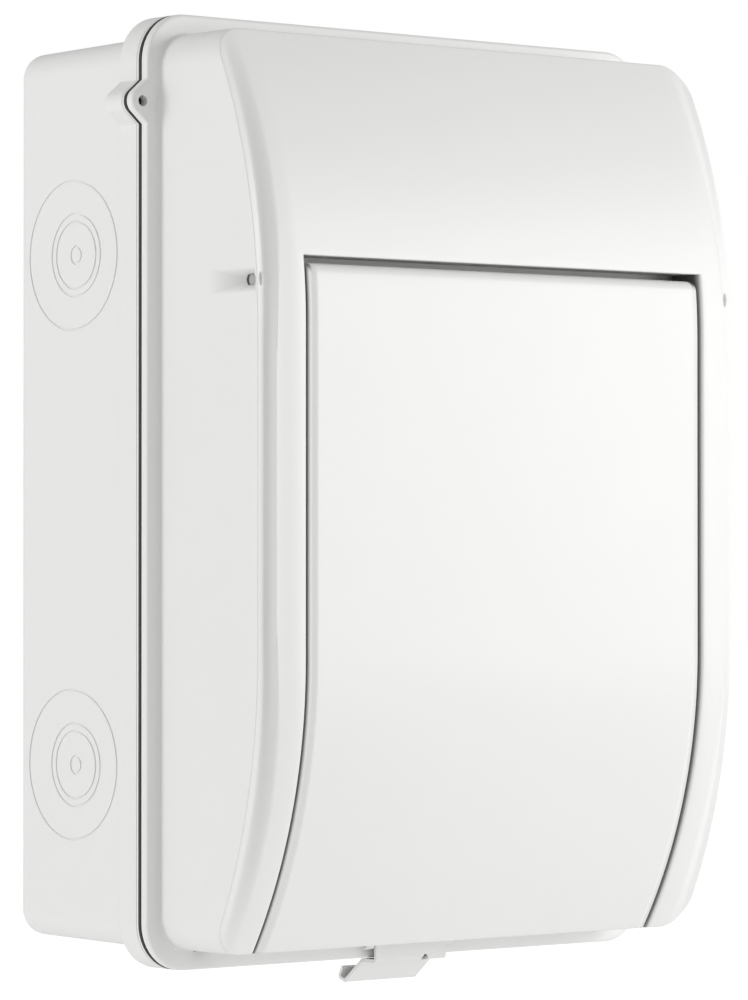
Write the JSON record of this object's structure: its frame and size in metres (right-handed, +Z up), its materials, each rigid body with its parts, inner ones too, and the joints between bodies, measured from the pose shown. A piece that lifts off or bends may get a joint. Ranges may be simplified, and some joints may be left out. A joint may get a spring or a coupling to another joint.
{
  "type": "breaker panel box",
  "caption": "Wall-hung breaker panel box with a bowed lift-up cover, an inspection door in it, side knockouts and breakers inside.",
  "frame": {"origin": "centre of the flat back face that lies against the wall", "axes": "+Z up, -Y out of the wall towards the user, +X to the right as seen from the front"},
  "size_m": [0.2914, 0.1735, 0.4053],
  "materials": {
    "white_plastic": "satin, fine moulded texture",
    "seal_rubber": "matte",
    "pin_steel": "turned",
    "zinc_steel": "zinc plated sheet",
    "screw_steel": "zinc plated",
    "ground_screw_steel": "green dyed zinc",
    "dead_front_paint": "satin powder coat",
    "bus_insulator": "moulded, matte",
    "plated_aluminium": "tin plated",
    "breaker_plastic": "moulded, fine texture",
    "handle_plastic": "semi gloss"
  },
  "bodies": {
    "box": {"back_box": "white_plastic", "cover_gasket": "seal_rubber", "cover_hinge_pins": "pin_steel", "interior_pan": "zinc_steel", "hook_rails": "zinc_steel", "pan_screws": "screw_steel", "dead_front": "dead_front_paint", "dead_front_screws": "screw_steel", "bus_base": "bus_insulator", "bus_bar_left": "plated_aluminium", "bus_bar_right": "plated_aluminium", "main_breaker_case": "breaker_plastic", "main_lugs": "plated_aluminium", "main_lug_screws": "screw_steel", "branch_terminal_screws": "screw_steel", "neutral_bar": "plated_aluminium", "neutral_bar_screws": "screw_steel", "neutral_standoffs": "bus_insulator", "ground_bar": "plated_aluminium", "ground_bar_screws": "ground_screw_steel", "breaker_case_left_1": "breaker_plastic", "breaker_case_left_2": "breaker_plastic", "breaker_case_left_3": "breaker_plastic", "breaker_case_right_1": "breaker_plastic", "breaker_case_right_2": "breaker_plastic", "breaker_case_right_3": "breaker_plastic"},
    "cover": {"front_cover": "white_plastic", "door_seal": "seal_rubber", "door_hinge_pins": "pin_steel", "latch_pin": "pin_steel"},
    "door": {"inspection_door": "white_plastic"},
    "latch": {"latch_clip": "white_plastic"},
    "main_handle": {"main_breaker_handle": "handle_plastic"},
    "handle_left_1": {"breaker_handle_left_1": "handle_plastic"},
    "handle_left_2": {"breaker_handle_left_2": "handle_plastic"},
    "handle_left_3": {"breaker_handle_left_3": "handle_plastic"},
    "handle_right_1": {"breaker_handle_right_1": "handle_plastic"},
    "handle_right_2": {"breaker_handle_right_2": "handle_plastic"},
    "handle_right_3": {"breaker_handle_right_3": "handle_plastic"}
  },
  "joints": [
    {"name": "cover_hinge", "type": "hinge", "parent": "box", "child": "cover", "pos_m": [0, -0.091, 0.1932], "axis": [-1, 0, 0], "range_deg": [0, 90]},
    {"name": "door_hinge", "type": "hinge", "parent": "cover", "child": "door", "pos_m": [0, -0.1643, 0.0845], "axis": [-1, 0, 0], "range_deg": [0, 95]},
    {"name": "latch_hinge", "type": "hinge", "parent": "cover", "child": "latch", "pos_m": [0, -0.1068, -0.1911], "axis": [-1, 0, 0], "range_deg": [0, 90]},
    {"name": "main_toggle", "type": "hinge", "parent": "box", "child": "main_handle", "pos_m": [0, -0.0915, 0.0455], "axis": [1, 0, 0], "range_deg": [0, 36]},
    {"name": "toggle_left_1", "type": "hinge", "parent": "box", "child": "handle_left_1", "pos_m": [-0.035, -0.0915, -0.009], "axis": [0, 0, -1], "range_deg": [0, 36]},
    {"name": "toggle_left_2", "type": "hinge", "parent": "box", "child": "handle_left_2", "pos_m": [-0.035, -0.0915, -0.035], "axis": [0, 0, -1], "range_deg": [0, 36]},
    {"name": "toggle_left_3", "type": "hinge", "parent": "box", "child": "handle_left_3", "pos_m": [-0.035, -0.0915, -0.061], "axis": [0, 0, -1], "range_deg": [0, 36]},
    {"name": "toggle_right_1", "type": "hinge", "parent": "box", "child": "handle_right_1", "pos_m": [0.035, -0.0915, -0.009], "axis": [0, 0, 1], "range_deg": [0, 36]},
    {"name": "toggle_right_2", "type": "hinge", "parent": "box", "child": "handle_right_2", "pos_m": [0.035, -0.0915, -0.035], "axis": [0, 0, 1], "range_deg": [0, 36]},
    {"name": "toggle_right_3", "type": "hinge", "parent": "box", "child": "handle_right_3", "pos_m": [0.035, -0.0915, -0.061], "axis": [0, 0, 1], "range_deg": [0, 36]}
  ]
}
